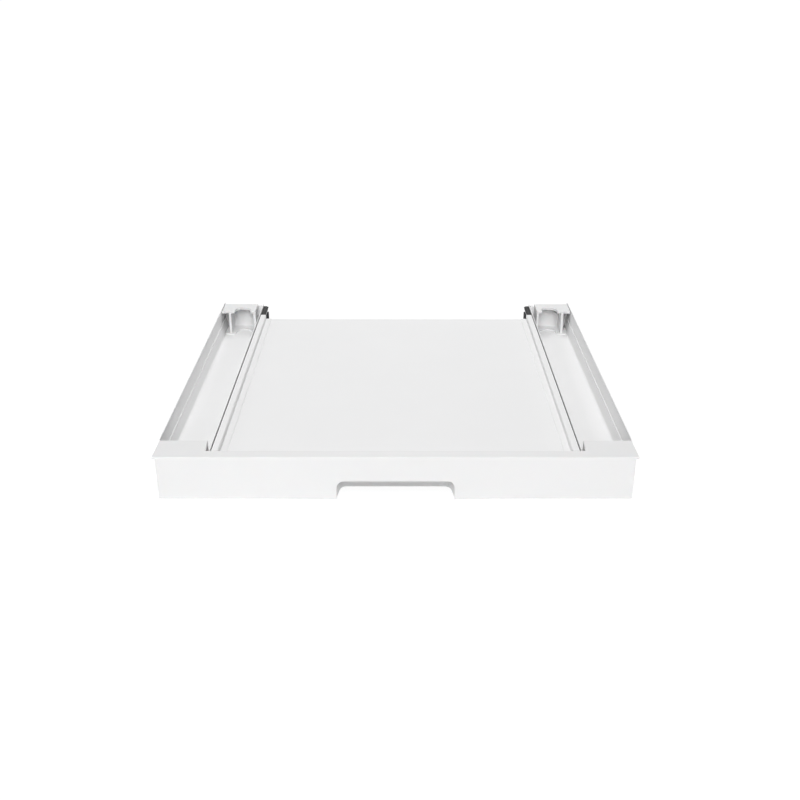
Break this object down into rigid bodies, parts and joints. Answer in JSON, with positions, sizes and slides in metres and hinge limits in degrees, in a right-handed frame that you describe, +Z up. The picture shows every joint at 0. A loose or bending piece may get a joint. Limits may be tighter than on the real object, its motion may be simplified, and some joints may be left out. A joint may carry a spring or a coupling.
{
  "type": "washer dryer stacking kit",
  "caption": "Low white stacking frame with side troughs for a dryer's feet and a pull-out shelf on ball bearing slides with a moulded front.",
  "frame": {"origin": "on the surface that the kit stands on, in the middle of its footprint", "axes": "+X to the right, +Y to the rear, +Z up; the front panel faces -Y and the shelf pulls out along -Y"},
  "size_m": [0.6, 0.58, 0.059],
  "materials": {
    "white_paint": "smooth white powder coat, satin",
    "white_plastic": "moulded white plastic, fine satin",
    "black_steel": "black coated steel, satin",
    "zinc_steel": "zinc plated steel strip",
    "ball_steel": "polished bearing steel",
    "pad_rubber": "dark soft pad",
    "screw_steel": "zinc plated"
  },
  "bodies": {
    "base": {"front_beam": "white_paint", "rear_beam": "white_paint", "side_skirt_left": "white_paint", "side_skirt_right": "white_paint", "foot_trough_left": "white_paint", "foot_trough_right": "white_paint", "front_pad_left": "pad_rubber", "front_pad_right": "pad_rubber", "rear_pad_left": "pad_rubber", "rear_pad_right": "pad_rubber", "rear_foot_block_left": "white_plastic", "rear_foot_block_right": "white_plastic", "slide_outer_left": "black_steel", "slide_outer_right": "black_steel", "slide_bumper_left": "pad_rubber", "slide_bumper_right": "pad_rubber", "slide_screws_left": "screw_steel", "slide_screws_right": "screw_steel", "block_screws_left": "screw_steel", "block_screws_right": "screw_steel"},
    "shelf": {"front_panel": "white_plastic", "shelf_tray": "white_paint", "front_stiffener": "white_paint", "rear_stiffener": "white_paint", "panel_screws": "screw_steel", "shelf_rail_left": "white_paint", "shelf_rail_right": "white_paint", "slide_inner_left": "zinc_steel", "slide_inner_right": "zinc_steel", "shelf_screws_left": "screw_steel", "shelf_screws_right": "screw_steel"},
    "middle_slide_left": {"slide_middle_left": "zinc_steel"},
    "outer_cage_left": {"outer_ball_cage_left": "zinc_steel", "outer_balls_left": "ball_steel"},
    "inner_cage_left": {"inner_ball_cage_left": "zinc_steel", "inner_balls_left": "ball_steel"},
    "middle_slide_right": {"slide_middle_right": "zinc_steel"},
    "outer_cage_right": {"outer_ball_cage_right": "zinc_steel", "outer_balls_right": "ball_steel"},
    "inner_cage_right": {"inner_ball_cage_right": "zinc_steel", "inner_balls_right": "ball_steel"}
  },
  "joints": [
    {"name": "shelf_slide", "type": "slide", "parent": "base", "child": "shelf", "axis": [0, -1, 0], "range_m": [0, 0.45]},
    {"name": "middle_slide_left_travel", "type": "slide", "parent": "base", "child": "middle_slide_left", "axis": [0, -1, 0], "range_m": [0, 0.225]},
    {"name": "outer_cage_left_travel", "type": "slide", "parent": "base", "child": "outer_cage_left", "axis": [0, -1, 0], "range_m": [0, 0.1125]},
    {"name": "inner_cage_left_travel", "type": "slide", "parent": "base", "child": "inner_cage_left", "axis": [0, -1, 0], "range_m": [0, 0.3375]},
    {"name": "middle_slide_right_travel", "type": "slide", "parent": "base", "child": "middle_slide_right", "axis": [0, -1, 0], "range_m": [0, 0.225]},
    {"name": "outer_cage_right_travel", "type": "slide", "parent": "base", "child": "outer_cage_right", "axis": [0, -1, 0], "range_m": [0, 0.1125]},
    {"name": "inner_cage_right_travel", "type": "slide", "parent": "base", "child": "inner_cage_right", "axis": [0, -1, 0], "range_m": [0, 0.3375]}
  ],
  "couplings": [
    {"joint": "middle_slide_left_travel", "follows": "shelf_slide", "ratio": 0.5},
    {"joint": "outer_cage_left_travel", "follows": "shelf_slide", "ratio": 0.25},
    {"joint": "inner_cage_left_travel", "follows": "shelf_slide", "ratio": 0.75},
    {"joint": "middle_slide_right_travel", "follows": "shelf_slide", "ratio": 0.5},
    {"joint": "outer_cage_right_travel", "follows": "shelf_slide", "ratio": 0.25},
    {"joint": "inner_cage_right_travel", "follows": "shelf_slide", "ratio": 0.75}
  ]
}
